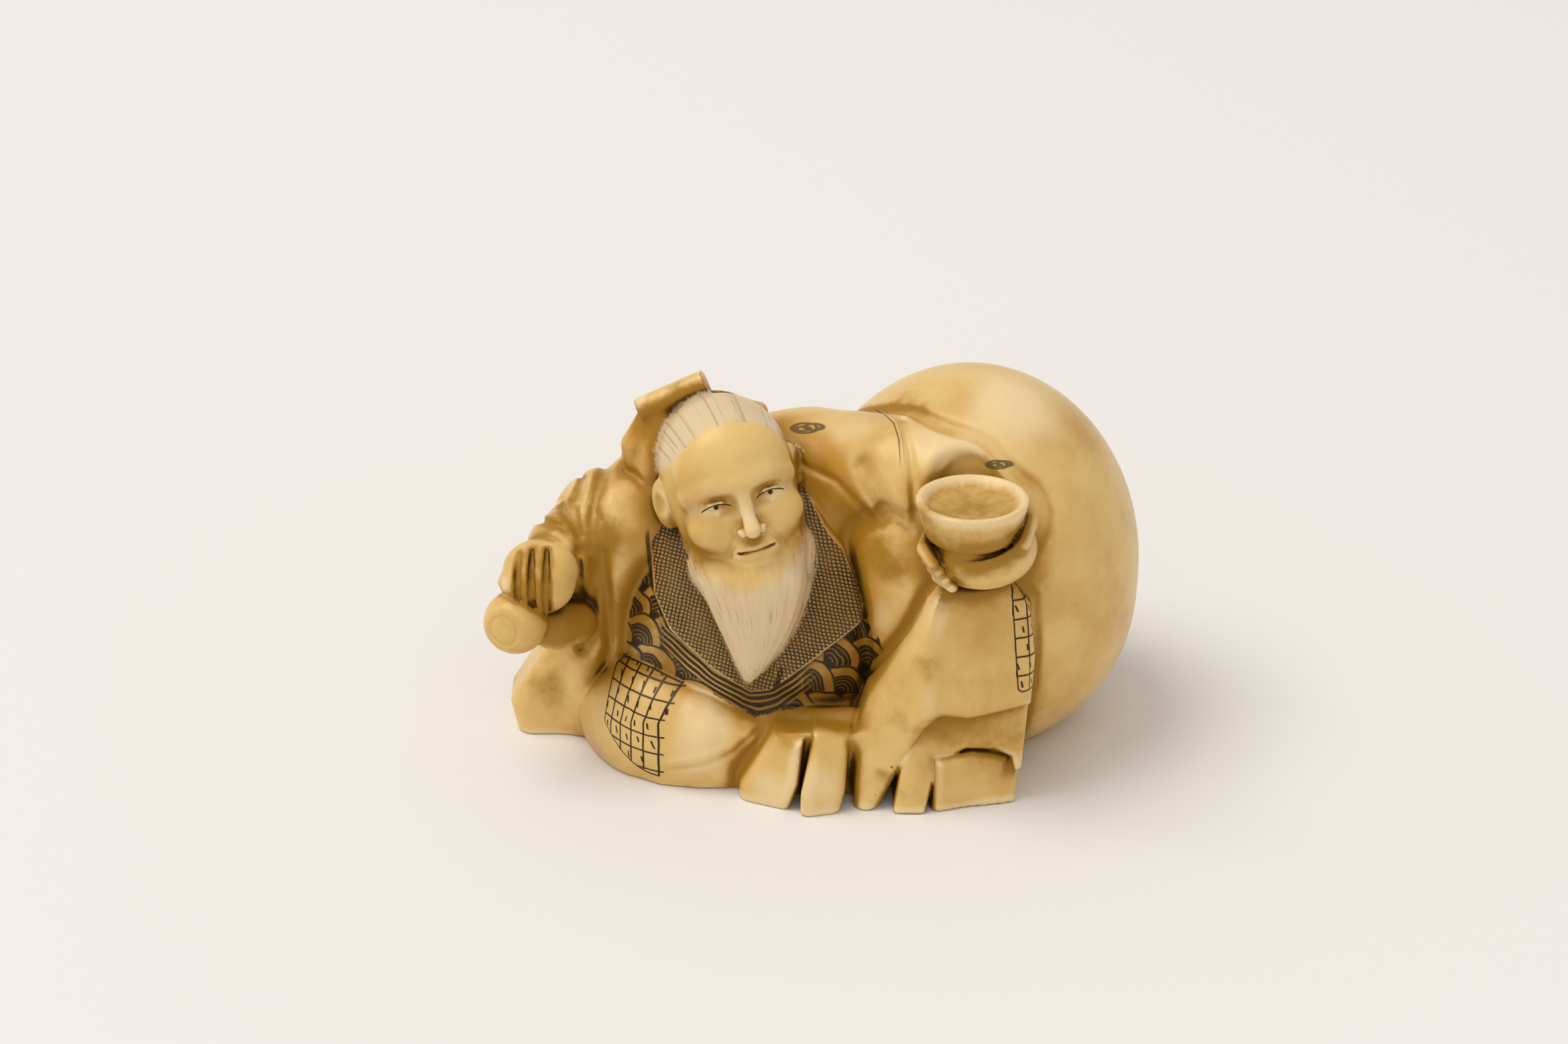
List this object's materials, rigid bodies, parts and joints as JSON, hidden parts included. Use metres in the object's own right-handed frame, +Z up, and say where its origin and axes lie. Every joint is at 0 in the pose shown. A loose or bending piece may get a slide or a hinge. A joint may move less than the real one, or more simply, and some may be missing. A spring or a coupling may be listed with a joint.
{
  "type": "netsuke",
  "caption": "Carved netsuke of a seated bearded sage with a wine cup and a flask, leaning against a large round sack.",
  "frame": {"origin": "middle of the footprint, on the flat underside", "axes": "+X to the sage's left, along the sack, +Y to his back, +Z up"},
  "size_m": [0.0474, 0.03, 0.0284],
  "materials": {
    "ivory": "polished ivory, stained amber in the hollows"
  },
  "bodies": {
    "root": {"netsuke": "ivory"}
  },
  "joints": []
}
